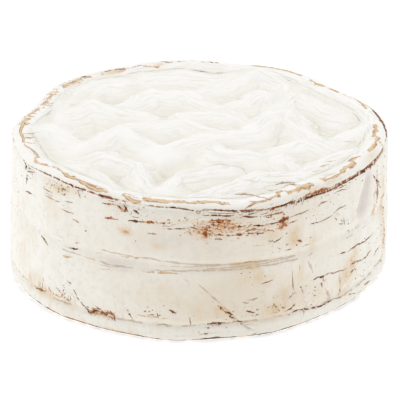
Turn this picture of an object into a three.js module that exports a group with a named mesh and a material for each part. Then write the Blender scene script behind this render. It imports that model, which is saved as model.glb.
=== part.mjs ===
// A soft-ripened cheese wheel with a white rind: one solid that rests on its flat underside.
// Millimetres and degrees, +Z up. The origin is in the underside, below the middle of the outline.
// Angles run anticlockwise from +X, so 270 is the front of the wheel.
//
// The wheel is a profile turned once round the axis and then shaped by hand-made unevenness:
// the outline swells and flattens, the top lies in soft folds inside a raised rim, and the side
// has a foot, a pressed band, a crease under the rim and a pinched dent.

import * as THREE from "three";
import { mergeVertices } from "three/addons/utils/BufferGeometryUtils.js";

// Driving dimensions
const RADIUS = 97.6; // mean radius of the side
const HEIGHT = 77.4; // from the underside to the crown of the rim
const STEPS_ROUND = 96;

// Side: rounded at the foot and at the shoulder, with three grooves that run right round
const FOOT_ROUNDING = 3.5;
const SHOULDER_ROUNDING = 4;
const ROUNDING_STEPS = 4;
const SIDE_STEP = 6; // height between plain rows of the side
const FOOT_CREASE = { height: 9.5, depth: 1, spread: 1.6 };
const BAND = { height: 43, depth: 0.9, spread: 2.6 }; // left by the wrapping
const RIM_CREASE = { height: HEIGHT - 4.8, depth: 0.9, spread: 1.3 };
const GROOVES = [FOOT_CREASE, BAND, RIM_CREASE];
const GROOVE_ROWS = [-1.6, -0.8, 0, 0.8, 1.6]; // rows over a groove, in spreads from its middle
const LEAST_STEP = 0.5; // between a side row and a rounded edge
const SIDE_BELLY = 0.6; // how far the side swells at half its height

// One pinched dent near the right-hand end: a narrow point under the rim that widens downwards
const DENT = { top: 74, foot: 42, depth: 3.6, topAngle: 335, footAngle: 329 };
const DENT_STEEP_SPREAD = 4; // towards the front, at its foot
const DENT_GENTLE_SPREAD = 12; // towards the right-hand end, at its foot
const DENT_POINT = 0.3; // share of those spreads at its top

// Top: a raised rim round a sunken bed that is covered by folds
const BED_DEPTH = 7; // from the rim's crown down to the bed
const RIM_WIDTH = 14; // from the side to the rim's inner foot
const RIM_CROWN_INSET = 5; // from the side to the crown of the rim
const RIM_FULLNESS = 2.5; // more makes a flatter crown with steeper sides, here and in folds
const TOP_RINGS = 22;
const FOLD_FULLNESS = 1.8;
const FRONT_REACH = 24; // from a fold's crest to its foot, towards the front
const BACK_REACH = 9; // the same towards the back, where folds are steep
const CREST_WIDTH = 1.2; // rounds the crests
const CREASE_SHARPNESS = 1.8; // per millimetre; higher makes narrower valleys between folds

// Low waves of the side: how many go round, how tall they are, and how far each stands out
const RIPPLES = [
  { waves: 9, tall: 70, out: 0.18 },
  { waves: 14, tall: -105, out: 0.18 },
];

// How far the outline stands out at the rim and at the foot
const RIM_SWELLS = [
  { angle: 4, out: 3.4, spread: 22 },
  { angle: 36, out: -2.4, spread: 15 },
  { angle: 98, out: 1, spread: 14 },
  { angle: 140, out: 1.2, spread: 8 },
  { angle: 161, out: -4, spread: 11 },
  { angle: 188, out: -0.6, spread: 12 },
  { angle: 228, out: -2.6, spread: 22 },
  { angle: 286, out: 1, spread: 10 },
  { angle: 316, out: -2, spread: 15 },
];
const FOOT_SWELLS = [
  { angle: 0, out: 4, spread: 17 },
  { angle: 35, out: -2.4, spread: 18 },
  { angle: 160, out: -2.6, spread: 12 },
  { angle: 196, out: 2.4, spread: 24 },
  { angle: 224, out: 1.6, spread: 9 },
  { angle: 262, out: 1.4, spread: 9 },
  { angle: 281, out: -0.8, spread: 9 },
  { angle: 314, out: -1.8, spread: 12 },
  { angle: 341, out: -0.4, spread: 8 },
];
// How far the rim, with the crease below it, rises or dips
const RIM_LIFTS = [
  { angle: 35, up: -1, spread: 14 },
  { angle: 78, up: -1.4, spread: 9 },
  { angle: 158, up: -1, spread: 12 },
  { angle: 226, up: 1, spread: 18 },
  { angle: 286, up: -1.8, spread: 13 },
];

// The folds of the top, from the front to the back. Each has a crest line of points (x, y, rise),
// where the rise is the height of the crest above the bed.
const FOLDS = [
  // wide lip along the front, to the right of its middle
  [[-1, -82, 5], [13, -73, 6.5], [31, -59, 7], [51, -60, 7], [64, -43, 6.5], [80, -27, 6.5]],
  // front, middle
  [[-19, -72, 4.5], [-10, -54, 6], [13, -48, 6]],
  // front left, outer
  [[-69, -48, 5], [-56, -49, 6], [-42, -73, 5]],
  // front left, inner
  [[-64, -39, 5], [-47, -33, 7], [-29, -46, 6.5], [-22, -73, 5]],
  // behind the wide lip
  [[34, -36, 5], [44, -37, 6.5], [56, -55, 5]],
  // middle of the front right
  [[8, -15, 4.5], [14, -30, 6.5], [40, -32, 6.5]],
  // right, inner
  [[45, -21, 5], [59, -15, 6], [72, -27, 5]],
  // right-hand rim, inner side
  [[69, -18, 4.5], [81, -4, 6], [92, 7, 6.5]],
  // left-hand ledge
  [[-89, 3, 6], [-77, 4, 6.5], [-61, -17, 5]],
  // middle left
  [[-58, -18, 5], [-41, -1, 7], [-19, -20, 4.5]],
  // main ridge, from the middle to the peak on the right
  [
    [-19, -20, 4.5], [4, -9, 6.5], [27, -2, 6.5], [40, 18, 8],
    [48, 19, 8], [58, -3, 5.5], [70, -16, 4.5],
  ],
  // behind the main ridge
  [[-35, 8, 5.5], [-6, 12, 6], [9, 0, 5.5]],
  // middle
  [[-4, 24, 5], [17, 23, 5.5], [29, 12, 5]],
  // left, behind the ledge
  [[-70, 28, 5], [-56, 38, 6], [-30, 24, 5]],
  // right of the middle, behind
  [[47, 35, 5], [56, 47, 7], [79, 25, 4.5]],
  // left-hand rim, inner side
  [[-79, 13, 5], [-74, 44, 5.5], [-56, 66, 5.5], [-38, 72, 5.5]],
  // back, from left to right
  [[-37, 40, 5], [-24, 53, 6], [-4, 51, 6], [14, 32, 4.5], [35, 50, 7], [46, 33, 4.5]],
  // right-hand rim, back
  [[55, 57, 4.5], [66, 66, 5.5], [83, 35, 5]],
  // back right
  [[-1, 54, 4], [21, 69, 5.5], [36, 83, 6.5], [50, 67, 6], [47, 43, 5]],
  // back rim, inner side
  [[-32, 78, 5], [-9, 82, 5], [10, 76, 5], [28, 84, 5.5]],
];

// The pits where folds meet: centre, half lengths along and across, turn of the long axis, depth
const PITS = [
  { x: -16, y: -52, long: 16, wide: 6.5, turn: 67, depth: 5 },
  { x: -41, y: -58, long: 11, wide: 6, turn: -71, depth: 1.5 },
  { x: -7, y: -63, long: 8, wide: 5, turn: -67, depth: 1.2 },
  { x: 35, y: -36, long: 8, wide: 5, turn: -72, depth: 1.5 },
  { x: 64, y: 1, long: 9, wide: 5, turn: -42, depth: 1.5 },
  { x: -80, y: 26, long: 10, wide: 4, turn: 87, depth: 2 },
  { x: -35, y: 68, long: 10, wide: 5, turn: -87, depth: 1.6 },
  { x: -44, y: 46, long: 7, wide: 4, turn: -14, depth: 1.2 },
  { x: -6, y: 32, long: 8, wide: 4, turn: -29, depth: 1.2 },
  { x: 52, y: 71, long: 9, wide: 5, turn: -86, depth: 3 },
];

const { clamp, degToRad, radToDeg, lerp, smoothstep } = THREE.MathUtils;

/** A soft hump, 1 where offset is 0 and close to 0 two spreads away. */
const hump = (offset, spread) => Math.exp(-((offset / spread) ** 2));

/** The signed difference between two angles, from -180 to 180. */
const turnBetween = (a, b) => ((((a - b) % 360) + 540) % 360) - 180;

/** The sum of what the entries of a list add at an angle. */
const roundSum = (list, angle, amount) =>
  list.reduce((sum, s) => sum + s[amount] * hump(turnBetween(angle, s.angle), s.spread), 0);

/** The radius of the uneven outline at an angle and a height. */
function outlineRadius(angle, height) {
  const foot = roundSum(FOOT_SWELLS, angle, "out");
  const rim = roundSum(RIM_SWELLS, angle, "out");
  return RADIUS + lerp(foot, rim, smoothstep(height, 0, HEIGHT));
}

/** How far the side stands out of the outline, or in from it below 0, at an angle and a height. */
function sideRelief(angle, height) {
  let out = SIDE_BELLY * Math.sin((Math.PI * height) / HEIGHT);
  for (const ripple of RIPPLES) {
    out += ripple.out * Math.sin(degToRad(ripple.waves * angle) + (2 * Math.PI * height) / ripple.tall);
  }
  for (const groove of GROOVES) {
    out -= groove.depth * hump(height - groove.height, groove.spread);
  }
  return out - dentDepth(angle, height);
}

/** How deep the dent is at an angle and a height. */
function dentDepth(angle, height) {
  const down = (DENT.top - height) / (DENT.top - DENT.foot);
  if (down <= 0 || down >= 1) {
    return 0;
  }
  const across = degToRad(turnBetween(angle, lerp(DENT.topAngle, DENT.footAngle, down))) * RADIUS;
  const footSpread = across < 0 ? DENT_STEEP_SPREAD : DENT_GENTLE_SPREAD;
  return DENT.depth * Math.sin(Math.PI * down) * hump(across, footSpread * lerp(DENT_POINT, 1, down));
}

/** The height above the bed that one stretch of a crest line gives, below 0 far from it. */
function foldHeight([startX, startY, startRise], [endX, endY, endRise], x, y) {
  const stepX = endX - startX;
  const stepY = endY - startY;
  const part = ((x - startX) * stepX + (y - startY) * stepY) / (stepX ** 2 + stepY ** 2);
  const along = clamp(part, 0, 1);
  const awayX = x - lerp(startX, endX, along);
  const awayY = y - lerp(startY, endY, along);
  const distance = Math.hypot(awayX, awayY) + CREST_WIDTH;
  const reach = lerp(FRONT_REACH, BACK_REACH, smoothstep(awayY / distance, -1, 1));
  const rise = lerp(startRise, endRise, smoothstep(along, 0, 1));
  return rise * (1 - (distance / reach) ** FOLD_FULLNESS);
}

/** The heights that all stretches of a fold's crest line give. */
const foldHeights = (crest, x, y) =>
  crest.slice(1).map((end, i) => foldHeight(crest[i], end, x, y));

/** How far one pit sinks a point of the folds. */
function pitDepth(pit, x, y) {
  const turn = degToRad(pit.turn);
  const dx = x - pit.x;
  const dy = y - pit.y;
  const along = (dx * Math.cos(turn) + dy * Math.sin(turn)) / pit.long;
  const across = (dy * Math.cos(turn) - dx * Math.sin(turn)) / pit.wide;
  return pit.depth * hump(Math.hypot(along, across), 1);
}

/** The height of the rim above the bed at a distance in from the side. */
function rimHeight(inset) {
  const span = inset < RIM_CROWN_INSET ? RIM_WIDTH : RIM_WIDTH - RIM_CROWN_INSET;
  return BED_DEPTH * (1 - (Math.abs(inset - RIM_CROWN_INSET) / span) ** RIM_FULLNESS);
}

/** The highest of some heights, softened so that creases between them are narrow, not sharp. */
function softHighest(heights) {
  const sum = heights.reduce((total, height) => total + Math.exp(CREASE_SHARPNESS * height), 0);
  return Math.log(sum) / CREASE_SHARPNESS;
}

/** The height of the top face, from the rim and from the folds with their pits. */
function topHeight(x, y, inset) {
  const folds = softHighest([0, ...FOLDS.flatMap((crest) => foldHeights(crest, x, y))]);
  const pits = PITS.reduce((sum, pit) => sum + pitDepth(pit, x, y), 0);
  return HEIGHT - BED_DEPTH + softHighest([folds - pits, rimHeight(inset)]);
}

/** How far the rim's rise or dip carries a point, fading down the side and in over the top. */
function rimLift(angle, height, inset) {
  const fade = smoothstep(height, HEIGHT / 2, HEIGHT) * (1 - smoothstep(inset, 0, 3 * RIM_WIDTH));
  return fade * roundSum(RIM_LIFTS, angle, "up");
}

/** The heights of the side's rows: plain steps, with closer rows over each groove. */
function sideHeights() {
  const top = HEIGHT - SHOULDER_ROUNDING;
  const heights = GROOVES.flatMap((g) => GROOVE_ROWS.map((k) => g.height + k * g.spread));
  const close = (height) => heights.some((h) => Math.abs(h - height) < SIDE_STEP / 2);
  for (let height = FOOT_ROUNDING + SIDE_STEP; height < top; height += SIDE_STEP) {
    if (!close(height)) {
      heights.push(height);
    }
  }
  return heights
    .filter((h) => h > FOOT_ROUNDING + LEAST_STEP && h < top - LEAST_STEP)
    .sort((a, b) => a - b);
}

/** A quarter circle of points (radius, height) round its centre, from an angle onwards. */
function roundedEdge(radius, height, rounding, fromAngle) {
  return Array.from({ length: ROUNDING_STEPS + 1 }, (_, i) => {
    const a = degToRad(fromAngle + (90 * i) / ROUNDING_STEPS);
    return new THREE.Vector2(radius + rounding * Math.cos(a), height + rounding * Math.sin(a));
  });
}

/** Half the wheel's section as points (radius, height), from the underside's centre to the top's. */
function profilePoints() {
  const topRadius = RADIUS - SHOULDER_ROUNDING;
  const rings = Array.from({ length: TOP_RINGS }, (_, i) => topRadius * (1 - (i + 1) / TOP_RINGS));
  return [
    new THREE.Vector2(0, 0),
    new THREE.Vector2(RADIUS / 2, 0),
    ...roundedEdge(RADIUS - FOOT_ROUNDING, FOOT_ROUNDING, FOOT_ROUNDING, -90),
    ...sideHeights().map((height) => new THREE.Vector2(RADIUS, height)),
    ...roundedEdge(topRadius, HEIGHT - SHOULDER_ROUNDING, SHOULDER_ROUNDING, 0),
    ...rings.map((radius) => new THREE.Vector2(radius, HEIGHT)),
  ];
}

/** Where the uneven wheel has one point of the turned profile. */
function shapePoint(point) {
  const radius = Math.hypot(point.x, point.y);
  const angle = radToDeg(Math.atan2(point.y, point.x));
  const inset = RADIUS - radius;
  const skin = smoothstep(radius, RADIUS - 2 * SHOULDER_ROUNDING, RADIUS);
  const outline = outlineRadius(angle, point.z);
  const shaped = (radius * outline) / RADIUS + skin * sideRelief(angle, point.z);
  const stretch = radius > 0 ? shaped / radius : 1;
  const x = point.x * stretch;
  const y = point.y * stretch;
  const shoulder = HEIGHT - SHOULDER_ROUNDING;
  const topShare = Math.max(0, (point.z - shoulder) / SHOULDER_ROUNDING);
  const z = point.z + topShare * (topHeight(x, y, inset) - HEIGHT) + rimLift(angle, point.z, inset);
  return new THREE.Vector3(x, y, z);
}

/** The whole wheel as one closed mesh, with the middle of its outline over the origin. */
function wheelGeometry() {
  const turned = new THREE.LatheGeometry(profilePoints(), STEPS_ROUND);
  turned.rotateX(Math.PI / 2);
  turned.deleteAttribute("normal");
  turned.deleteAttribute("uv");
  const geometry = mergeVertices(turned, 1e-3);
  const position = geometry.getAttribute("position");
  for (let i = 0; i < position.count; i++) {
    const shaped = shapePoint(new THREE.Vector3().fromBufferAttribute(position, i));
    position.setXYZ(i, shaped.x, shaped.y, shaped.z);
  }
  geometry.computeBoundingBox();
  const middle = geometry.boundingBox.getCenter(new THREE.Vector3());
  geometry.translate(-middle.x, -middle.y, 0);
  geometry.computeVertexNormals();
  return geometry;
}

const rind = new THREE.MeshStandardMaterial({ color: 0xf3f0e8, roughness: 0.75, metalness: 0 });

const wheel = new THREE.Mesh(wheelGeometry(), rind);
wheel.name = "cheese_wheel";

const part = new THREE.Group();
part.add(wheel);

export default part;
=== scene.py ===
import functools
import math

import bpy
import mathutils
import numpy as np
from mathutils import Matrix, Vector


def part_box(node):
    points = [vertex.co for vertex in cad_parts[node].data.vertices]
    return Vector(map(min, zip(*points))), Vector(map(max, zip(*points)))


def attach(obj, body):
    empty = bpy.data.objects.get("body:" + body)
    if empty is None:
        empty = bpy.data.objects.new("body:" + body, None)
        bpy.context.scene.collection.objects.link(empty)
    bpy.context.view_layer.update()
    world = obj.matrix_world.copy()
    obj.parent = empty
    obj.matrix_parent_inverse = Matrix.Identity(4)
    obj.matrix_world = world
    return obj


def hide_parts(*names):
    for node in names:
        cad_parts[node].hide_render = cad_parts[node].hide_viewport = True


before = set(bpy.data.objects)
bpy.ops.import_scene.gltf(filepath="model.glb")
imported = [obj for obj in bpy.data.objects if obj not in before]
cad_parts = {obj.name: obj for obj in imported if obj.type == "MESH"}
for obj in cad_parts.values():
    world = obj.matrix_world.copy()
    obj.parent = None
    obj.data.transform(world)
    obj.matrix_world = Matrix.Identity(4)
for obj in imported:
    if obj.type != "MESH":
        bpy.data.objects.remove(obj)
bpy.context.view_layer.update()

# The wheel's form in millimetres and degrees, as in the part's source. Angles run anticlockwise
# from +X, so 270 is the front.
RADIUS = 97.6
HEIGHT = 77.4
FOOT_ROUNDING = 3.5
SHOULDER_ROUNDING = 4
GROOVES = [(9.5, 1, 1.6), (43, 0.9, 2.6), (HEIGHT - 4.8, 0.9, 1.3)]  # height, depth, spread
SIDE_BELLY = 0.6
RIPPLES = [(9, 70, 0.18), (14, -105, 0.18)]  # waves round, height of one, how far out
DENT_TOP = 74
DENT_FOOT = 42
DENT_DEPTH = 3.6
DENT_ANGLES = (335, 329)  # at its top and at its foot
DENT_SPREADS = (4, 12)  # towards the front and towards the right-hand end
DENT_POINT = 0.3  # share of those spreads at its top
BED_DEPTH = 7  # from the rim's crown down to the bed under the folds
RIM_WIDTH = 14
RIM_CROWN_INSET = 5
RIM_FULLNESS = 2.5
FOLD_FULLNESS = 1.8
FRONT_REACH = 24  # how far a fold slopes down towards the front, and towards the back
BACK_REACH = 9
CREST_WIDTH = 1.2
CREASE_SHARPNESS = 1.8

# Fine relief, in millimetres
CRUMPLE = 1.6  # how far the skin's wrinkles shift the folds
CREASE_INSET = 11  # from the side to the crease inside the rim
CREASE_SPREAD = 5.5
CREASE_ROUNDING = 1.15  # share of its depth and of its edges' height that is evened out
ROUNDING_REACH = 7
HOLLOW_REACH = 4.5  # a hollow lies lower than the mean of the top within this reach
CREST_REACH = 13  # a crest stands higher than the mean of the top within this reach
FAR_DIP = 2.6  # the far crease is filled to this depth below the rim's crown
FAR_DIP_SPREAD = 7
FAR_DIP_SHARPNESS = 3  # per millimetre
CUTS = {"dark": 0.35, "rust": 0.15, "tan": 0.25, "brown": 0.25}  # depth of each family of marks

# Painted shade, a darker beige, round the side's front and back: angle, strength, spread
SIDE_SHADE = [(280, 1, 52), (95, 0.6, 48)]

# Camera: angle above level, distance to its target and the target in metres, lens
VIEW_ANGLE = 24.542
VIEW_DISTANCE = 1.5939
VIEW_TARGET = (0.000765, 0, 0.034786)
VIEW_LENS = 270

# Studio: the strength of the white world, and each light's name, place in metres, size and power
WORLD_STRENGTH = 0.62
LIGHTS = [
    ("overhead", (0.0, 0.1, 1.3), 1.0, 5.5),
    ("left", (-1.3, 0.1, 0.5), 0.9, 3.2),
    ("right", (1.3, 0.1, 0.5), 0.9, 2.2),
]
LIGHTS_TARGET = (0, 0, 0.04)

# Mesh
HALF_GRID = 85  # cells of the top's grid from its middle to its edge
ROUND = 8 * HALF_GRID
TURN_STEP = 360 / ROUND
SKIN_ROWS = 96
BASE_RADII = (30, 60, 88)
GOLDEN_TURN = math.pi * (3 - math.sqrt(5))  # spreads sample points evenly over a disc
FAR_AWAY = 99.0  # further than anything that counts
LARGEST_OFFSET = 9.0  # half widths from a mark's middle line

# Marks are placed on the unrolled skin by angle and by the distance up the skin. That distance
# equals the height on the side, and runs on over the shoulder and in over the top.
SIDE_TOP = HEIGHT - SHOULDER_ROUNDING
FOOT_ARC = math.pi / 2 * FOOT_ROUNDING
SHOULDER_ARC = math.pi / 2 * SHOULDER_ROUNDING
SKIN_FOOT = FOOT_ROUNDING - FOOT_ARC
SKIN_CROWN = SIDE_TOP + SHOULDER_ARC
SKIN_END = SKIN_CROWN + 18  # where the rings of the skin give way to the grid of the top
UNDERSIDE = -50  # for the middle of the underside, far from any mark

# Angle, size and spread of each swell of the outline and of each rise or dip of the rim
RIM_SWELLS = [
    (4, 3.4, 22), (36, -2.4, 15), (98, 1, 14), (140, 1.2, 8), (161, -4, 11),
    (188, -0.6, 12), (228, -2.6, 22), (286, 1, 10), (316, -2, 15),
]
FOOT_SWELLS = [
    (0, 4, 17), (35, -2.4, 18), (160, -2.6, 12), (196, 2.4, 24), (224, 1.6, 9),
    (262, 1.4, 9), (281, -0.8, 9), (314, -1.8, 12), (341, -0.4, 8),
]
RIM_LIFTS = [(35, -1, 14), (78, -1.4, 9), (158, -1, 12), (226, 1, 18), (286, -1.8, 13)]

# The crest lines of the top's folds, from the front to the back: x, y and rise of each point
FOLDS = [
    [(-1, -82, 5), (13, -73, 6.5), (31, -59, 7), (51, -60, 7), (64, -43, 6.5), (80, -27, 6.5)],
    [(-19, -72, 4.5), (-10, -54, 6), (13, -48, 6)],
    [(-69, -48, 5), (-56, -49, 6), (-42, -73, 5)],
    [(-64, -39, 5), (-47, -33, 7), (-29, -46, 6.5), (-22, -73, 5)],
    [(34, -36, 5), (44, -37, 6.5), (56, -55, 5)],
    [(8, -15, 4.5), (14, -30, 6.5), (40, -32, 6.5)],
    [(45, -21, 5), (59, -15, 6), (72, -27, 5)],
    [(69, -18, 4.5), (81, -4, 6), (92, 7, 6.5)],
    [(-89, 3, 6), (-77, 4, 6.5), (-61, -17, 5)],
    [(-58, -18, 5), (-41, -1, 7), (-19, -20, 4.5)],
    [(-19, -20, 4.5), (4, -9, 6.5), (27, -2, 6.5), (40, 18, 8), (48, 19, 8), (58, -3, 5.5),
     (70, -16, 4.5)],
    [(-35, 8, 5.5), (-6, 12, 6), (9, 0, 5.5)],
    [(-4, 24, 5), (17, 23, 5.5), (29, 12, 5)],
    [(-70, 28, 5), (-56, 38, 6), (-30, 24, 5)],
    [(47, 35, 5), (56, 47, 7), (79, 25, 4.5)],
    [(-79, 13, 5), (-74, 44, 5.5), (-56, 66, 5.5), (-38, 72, 5.5)],
    [(-37, 40, 5), (-24, 53, 6), (-4, 51, 6), (14, 32, 4.5), (35, 50, 7), (46, 33, 4.5)],
    [(55, 57, 4.5), (66, 66, 5.5), (83, 35, 5)],
    [(-1, 54, 4), (21, 69, 5.5), (36, 83, 6.5), (50, 67, 6), (47, 43, 5)],
    [(-32, 78, 5), (-9, 82, 5), (10, 76, 5), (28, 84, 5.5)],
]

# Pits between the folds: x, y, half length, half width, turn of the long axis, depth
PITS = [
    (-16, -52, 16, 6.5, 67, 5), (-41, -58, 11, 6, -71, 1.5), (-7, -63, 8, 5, -67, 1.2),
    (35, -36, 8, 5, -72, 1.5), (64, 1, 9, 5, -42, 1.5), (-80, 26, 10, 4, 87, 2),
    (-35, 68, 10, 5, -87, 1.6), (-44, 46, 7, 4, -14, 1.2), (-6, 32, 8, 4, -29, 1.2),
    (52, 71, 9, 5, -86, 3),
]

# Lines that run right round: angle, distance up the skin, half width, share that shows
RIM_CRACK = [
    (3, 77.5, 0.8, 1.2), (7, 78.3, 1, 1.3), (12, 78.2, 0.9, 1.2), (17, 77.5, 0.5, 0.9),
    (25, 77, 0.35, 0.5), (45, 76, 0.5, 0.6), (75, 76, 0.4, 0.4), (100, 76.5, 0.5, 0.6),
    (135, 75.5, 0.5, 0.7), (165, 75.5, 0.35, 0.4), (195, 75, 0.3, 0.1), (212, 75, 0.3, 0.25),
    (216, 75.1, 0.4, 0.97), (224, 74.6, 0.45, 0.97), (231, 74.5, 0.45, 1), (233, 74.8, 0.6, 0.9),
    (237, 74.8, 0.6, 1), (238.3, 74.5, 0.3, 0), (239.8, 74.3, 0.8, 1.3), (243.4, 74.9, 1, 1.3),
    (244.6, 75, 0.3, 0.4), (248, 75.3, 0.3, 0.5), (250, 75.2, 0.3, 0), (256, 74.8, 0.3, 0),
    (257.3, 74.8, 0.4, 0.9), (265, 74.8, 0.45, 1), (270.4, 73.3, 0.6, 1), (271.6, 73.6, 0.3, 0.1),
    (273, 74.5, 0.3, 0.8), (276, 75, 0.4, 0.97), (282, 74.8, 0.45, 1), (284, 74.4, 0.6, 1),
    (286.6, 73.8, 0.7, 1), (288.4, 73.6, 0.4, 0.6), (291.8, 72.8, 0.3, 0.5), (292.6, 72.5, 0.7, 1),
    (294.6, 72.2, 0.5, 1), (297, 72.2, 0.45, 0.9), (299.4, 72.2, 0.9, 1), (301, 72, 0.5, 0.8),
    (302.8, 71.9, 0.9, 1), (304.6, 71.9, 0.7, 1), (309.2, 71.6, 0.45, 1.2), (315.4, 70.9, 0.4, 1.2),
    (319, 71.2, 0.35, 1.1), (331, 71.8, 0.35, 1), (334, 71.6, 0.6, 1.2), (335.4, 71.7, 1.2, 1.4),
    (337.4, 71.5, 0.8, 1.2), (340.6, 71.5, 0.45, 0.85), (344.2, 71.6, 0.4, 0.75),
    (348.4, 72, 0.5, 0.8), (353, 74, 0.6, 1), (358.6, 76.4, 0.7, 1.1),
]
RIM_RUST = [
    (0, 77.2, 0.5, 0.6), (10, 78, 0.4, 0), (220, 74.6, 0.4, 0), (230, 74.4, 0.5, 0.6),
    (243, 74.6, 0.6, 0.7), (247, 74.8, 0.4, 0), (278, 74.4, 0.4, 0), (284, 74, 0.5, 0.7),
    (287, 73.4, 0.6, 0.9), (290, 72.8, 0.4, 0.3), (298, 72.4, 0.4, 0.4), (304, 72.6, 0.5, 0.6),
    (306.6, 73.4, 1, 1), (309.4, 73.2, 1.6, 1), (312.4, 72.6, 1.3, 1), (316, 71.9, 0.5, 0.9),
    (331, 72.6, 0.45, 0.9), (336, 72.4, 1, 1), (341, 72.4, 0.6, 0.9), (347, 72.8, 0.5, 0.7),
    (353, 74.2, 0.6, 0.8),
]
TAN_LINE = [
    (5, 81, 0.6, 0), (14, 81.2, 0.6, 0), (17, 80.8, 0.7, 0.9), (21, 79.6, 0.7, 0.9),
    (27.6, 78.4, 0.5, 0.7), (31, 80.3, 0.7, 0.4), (36, 79.9, 0.9, 0.9), (43.4, 82, 0.7, 0.7),
    (50, 80.5, 0.5, 0.1), (59.6, 79.9, 0.8, 0.8), (67, 80.3, 0.9, 0.9), (75, 80.5, 0.6, 0.3),
    (90, 80.5, 0.6, 0.2), (99, 81.3, 0.5, 0.1), (104, 84.5, 0.5, 0.1), (108, 82.7, 0.6, 0.1),
    (113, 82.7, 0.6, 0.1), (118.6, 83.6, 0.7, 0.1), (125.6, 83.1, 0.7, 0.2), (133, 81, 0.7, 0.3),
    (142, 83, 0.7, 0.35), (150, 82, 0.7, 0.4), (160, 81.5, 0.7, 0.45), (170, 80.5, 0.8, 0.55),
    (178, 81.5, 0.8, 0.6), (184, 80.3, 0.8, 0.9), (189, 81, 0.9, 1), (193, 80.6, 0.7, 0.9),
    (196, 80.4, 0.5, 0),
]
FOOT_LINE = [
    (0, 0.5, 1, 0.8), (60, 0.5, 1.1, 0.7), (120, 0.5, 1, 0.8), (180, 0.5, 1, 0.8),
    (192, 1.2, 1.3, 1.3), (205, 1.4, 1.5, 1.4), (225, 0.9, 1.3, 1.3), (240, 0.6, 1.3, 1.1),
    (253, 0.5, 1.1, 1), (266, 0.5, 1, 0.9), (272, 0.7, 1.2, 1), (288, 0.5, 1.2, 1),
    (300, 0.5, 1.2, 1), (320, 0.5, 1.1, 0.9), (340, 0.5, 1, 0.8),
]
FOOT_CREASE = [
    (0, 9.6, 0.6, 0.5), (90, 9.2, 0.7, 0.6), (180, 9.6, 0.5, 0.4), (206, 9.4, 0.7, 0.6),
    (222, 9.8, 0.8, 0.8), (236, 9, 0.7, 0.7), (250, 9, 0.6, 0.8), (268, 9.6, 0.6, 0.6),
    (282, 9.6, 0.7, 0.9), (292, 9.8, 0.6, 0.5), (304, 9.4, 0.5, 0.4), (320, 7.6, 0.5, 0.6),
]
BAND_TOP = [
    (0, 45, 0.4, 0.3), (60, 44.5, 0.5, 0.5), (150, 45.5, 0.5, 0.4), (190, 45.5, 0.4, 0.1),
    (228, 45.5, 0.4, 0.15), (246, 45.6, 0.5, 0.8), (256, 46, 0.6, 0.9), (264, 45, 0.6, 0.9),
    (272, 43.6, 0.7, 1), (290, 42.9, 0.7, 1), (303, 42, 0.5, 0.6), (315, 41.5, 0.4, 0.2),
]
BAND_FOOT = [
    (0, 40.5, 0.4, 0.2), (80, 40, 0.5, 0.4), (160, 40.4, 0.5, 0.4), (195, 40, 0.4, 0.1),
    (222, 39.5, 0.4, 0.1), (236, 39.3, 0.6, 0.6), (244, 38.7, 0.6, 0.8), (258, 40, 0.4, 0.6),
    (268, 40.8, 0.6, 1), (282, 40.2, 0.7, 1), (298, 40.2, 0.5, 0.8), (312, 39.5, 0.4, 0.2),
]

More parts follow.
